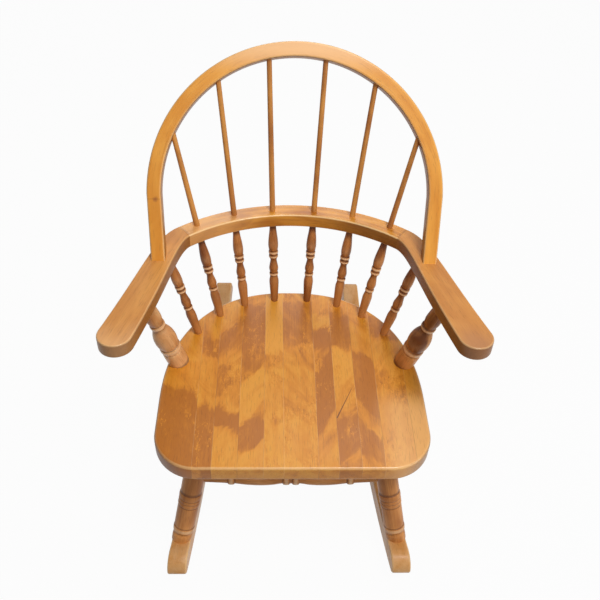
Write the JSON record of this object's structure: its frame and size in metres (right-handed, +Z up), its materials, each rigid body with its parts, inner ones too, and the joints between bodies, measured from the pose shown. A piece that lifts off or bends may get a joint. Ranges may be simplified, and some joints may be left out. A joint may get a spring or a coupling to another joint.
{
  "type": "spindle-back rocking chair",
  "caption": "Wooden armchair on curved rockers, with a glued stave seat, bent rail and arms, and turned spindles that fan up into an arched bow.",
  "frame": {"origin": "middle of the chair's bounding box at floor level, with the chair at rest on its rockers", "axes": "+Z up, -Y towards the front of the chair, +X to the right of someone who looks at its front"},
  "size_m": [0.698, 0.797, 0.9335],
  "materials": {
    "seat_honey": "satin lacquer",
    "seat_amber": "satin lacquer",
    "seat_russet": "satin lacquer",
    "bent_wood": "satin lacquer",
    "rocker_wood": "satin lacquer",
    "spindle_wood": "satin lacquer",
    "turned_wood": "satin lacquer",
    "dowel_wood": "satin lacquer"
  },
  "bodies": {
    "root": {"seat_stave_01": "seat_russet", "seat_stave_02": "seat_amber", "seat_stave_03": "seat_honey", "seat_stave_04": "seat_amber", "seat_stave_05": "seat_honey", "seat_stave_06": "seat_amber", "seat_stave_07": "seat_russet", "seat_stave_08": "seat_honey", "seat_stave_09": "seat_amber", "seat_stave_10": "seat_russet", "seat_stave_11": "seat_amber", "bow": "bent_wood", "back_rail": "bent_wood", "left_arm": "bent_wood", "right_arm": "bent_wood", "left_rocker": "rocker_wood", "right_rocker": "rocker_wood", "long_spindle_1": "spindle_wood", "long_spindle_2": "spindle_wood", "long_spindle_3": "spindle_wood", "long_spindle_4": "spindle_wood", "long_spindle_5": "spindle_wood", "long_spindle_6": "spindle_wood", "left_short_spindle": "spindle_wood", "right_short_spindle": "spindle_wood", "left_arm_post": "turned_wood", "right_arm_post": "turned_wood", "left_front_leg": "turned_wood", "left_rear_leg": "turned_wood", "right_front_leg": "turned_wood", "right_rear_leg": "turned_wood", "front_stretcher": "turned_wood", "left_stretcher": "turned_wood", "right_stretcher": "turned_wood", "rear_stretcher": "turned_wood", "left_joint_dowel_1": "dowel_wood", "left_joint_dowel_2": "dowel_wood", "right_joint_dowel_1": "dowel_wood", "right_joint_dowel_2": "dowel_wood"}
  },
  "joints": []
}
